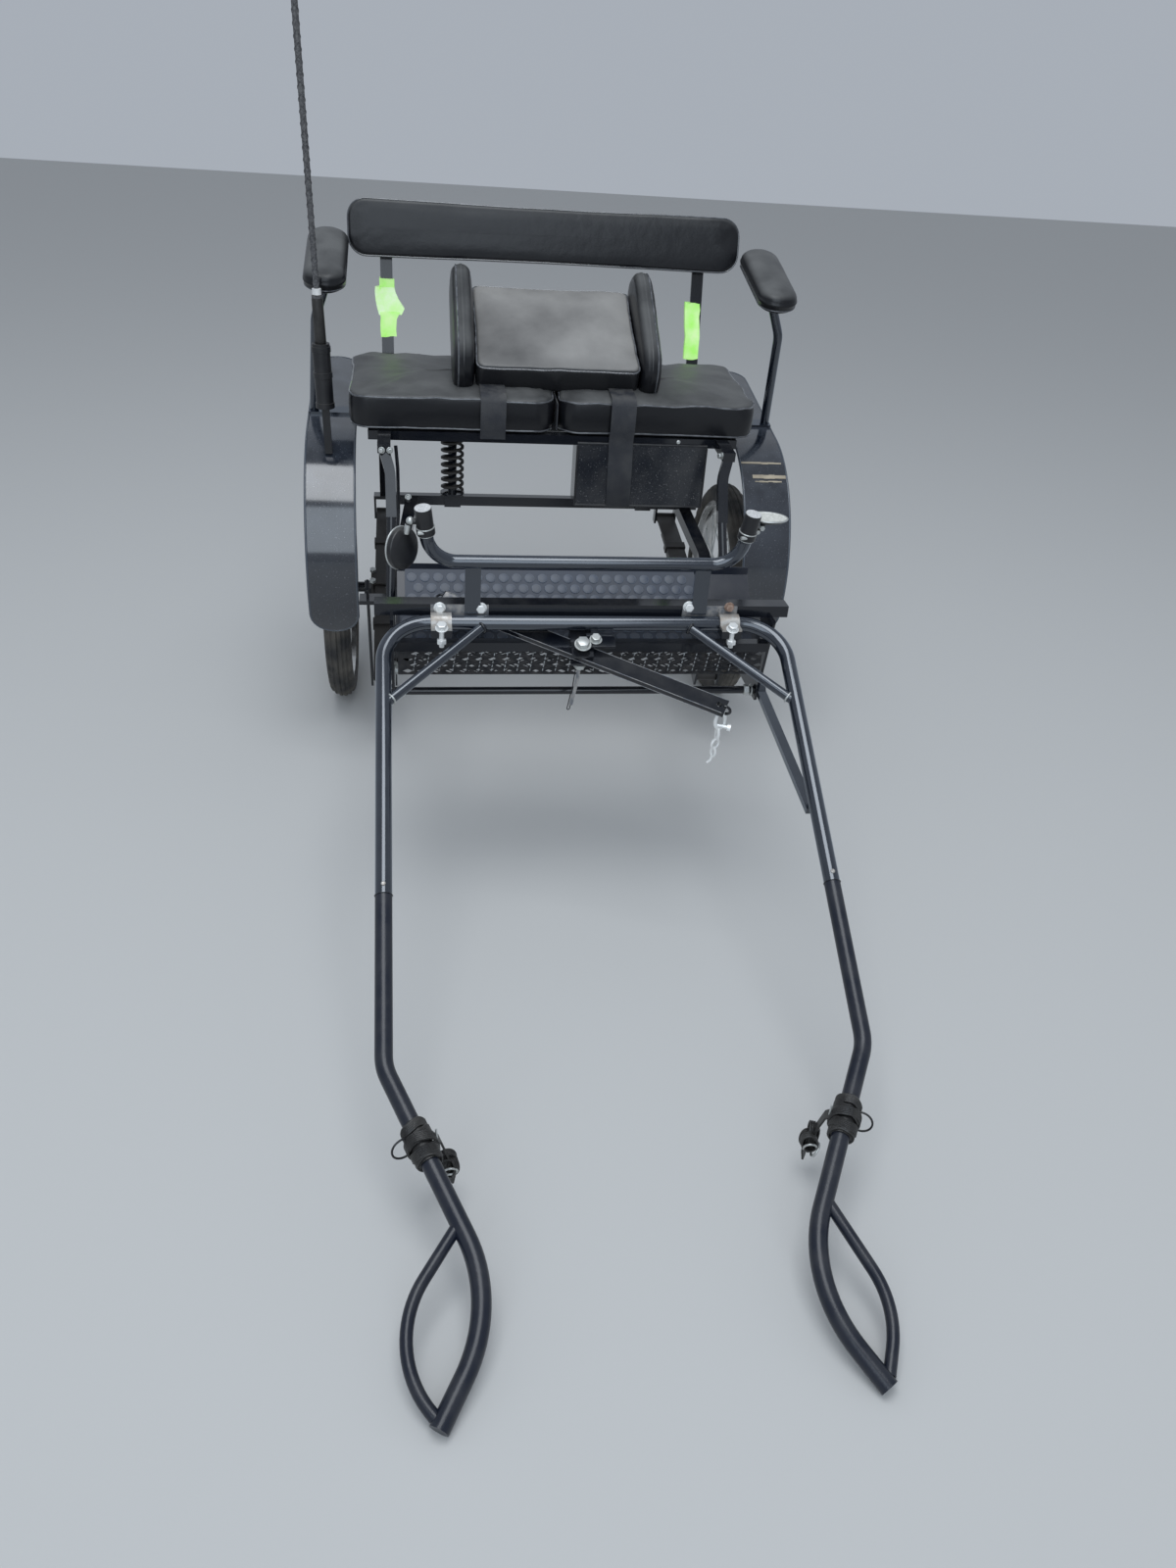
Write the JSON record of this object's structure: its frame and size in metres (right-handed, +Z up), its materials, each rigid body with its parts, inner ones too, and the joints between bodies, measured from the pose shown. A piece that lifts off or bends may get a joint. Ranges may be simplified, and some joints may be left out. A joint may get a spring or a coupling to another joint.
{
  "type": "horse drawn carriage",
  "caption": "Modern black steel-tube pony gig on wire wheels, with bent shafts, fenders, padded seat and child's booster.",
  "frame": {"origin": "centre of the bounding box on the floor", "axes": "+Z up, -Y forwards to the shaft tips, +X to the side with the storage box; the floor is Z = 0"},
  "size_m": [1, 2.1958, 1.8334],
  "materials": {
    "black_paint": "gloss",
    "tyre": "matte, muddy",
    "chrome": "polished",
    "zinc": "satin",
    "vinyl": "satin, dusty",
    "blue_rubber": "matte",
    "spring_steel": "matte",
    "leather": "satin",
    "galvanised": "satin",
    "black_plastic": "satin",
    "whip_braid": "matte"
  },
  "bodies": {
    "chassis": {"arm_pad_left": "vinyl", "arm_pad_right": "vinyl", "arm_tube_left": "black_paint", "arm_tube_right": "black_paint", "axle": "black_paint", "back_upright_left": "black_paint", "back_upright_right": "black_paint", "backrest_pad": "vinyl", "booster_pad": "vinyl", "booster_wings": "vinyl", "chassis_rail_left": "black_paint", "chassis_rail_right": "black_paint", "clamp_straps": "zinc", "coil_springs": "black_paint", "cross_rod": "zinc", "dampers": "black_paint", "dash_grips": "black_plastic", "dash_rail": "black_paint", "fender_left": "black_paint", "fender_right": "black_paint", "floor_mat": "blue_rubber", "floor_tray": "black_paint", "front_lip": "black_paint", "front_rail": "black_paint", "leaf_spring_left": "spring_steel", "leaf_spring_right": "spring_steel", "mesh_panel": "galvanised", "mirror_left": "black_plastic", "mirror_right": "black_plastic", "rail_plates": "zinc", "rear_cross_bar": "black_paint", "seat_cushion_left": "vinyl", "seat_cushion_right": "vinyl", "seat_frame": "black_paint", "shackles": "black_paint", "shaft_clamp_left": "black_paint", "shaft_clamp_right": "black_paint", "shaft_end_left": "black_paint", "shaft_end_right": "black_paint", "shaft_frame": "black_paint", "shaft_stay_left": "black_paint", "shaft_stay_right": "black_paint", "side_bar_left": "black_paint", "side_bar_right": "black_paint", "side_plate_left": "black_paint", "side_plate_right": "black_paint", "spring_hangers": "black_paint", "storage_box": "black_plastic", "swing_bracket": "black_paint", "tug_strap_left": "leather", "tug_strap_right": "leather", "whip": "whip_braid", "whip_holder": "black_plastic"},
    "wheel_left": {"hub_left": "zinc", "rim_left": "chrome", "tyre_left": "tyre"},
    "wheel_right": {"hub_right": "zinc", "rim_right": "chrome", "tyre_right": "tyre"},
    "swingletree": {"swingletree": "black_paint"}
  },
  "joints": [
    {"name": "wheel_left_spin", "type": "hinge", "parent": "chassis", "child": "wheel_left", "pos_m": [-0.455, 0.7935, 0.256], "axis": [1, 0, 0], "continuous": true},
    {"name": "wheel_right_spin", "type": "hinge", "parent": "chassis", "child": "wheel_right", "pos_m": [0.455, 0.7935, 0.256], "axis": [1, 0, 0], "continuous": true},
    {"name": "swingletree_swing", "type": "hinge", "parent": "chassis", "child": "swingletree", "pos_m": [-0.0105, -0.0645, 0.4879], "axis": [0, -0.4226, 0.9063], "range_deg": [-7.5, 62.5]}
  ]
}
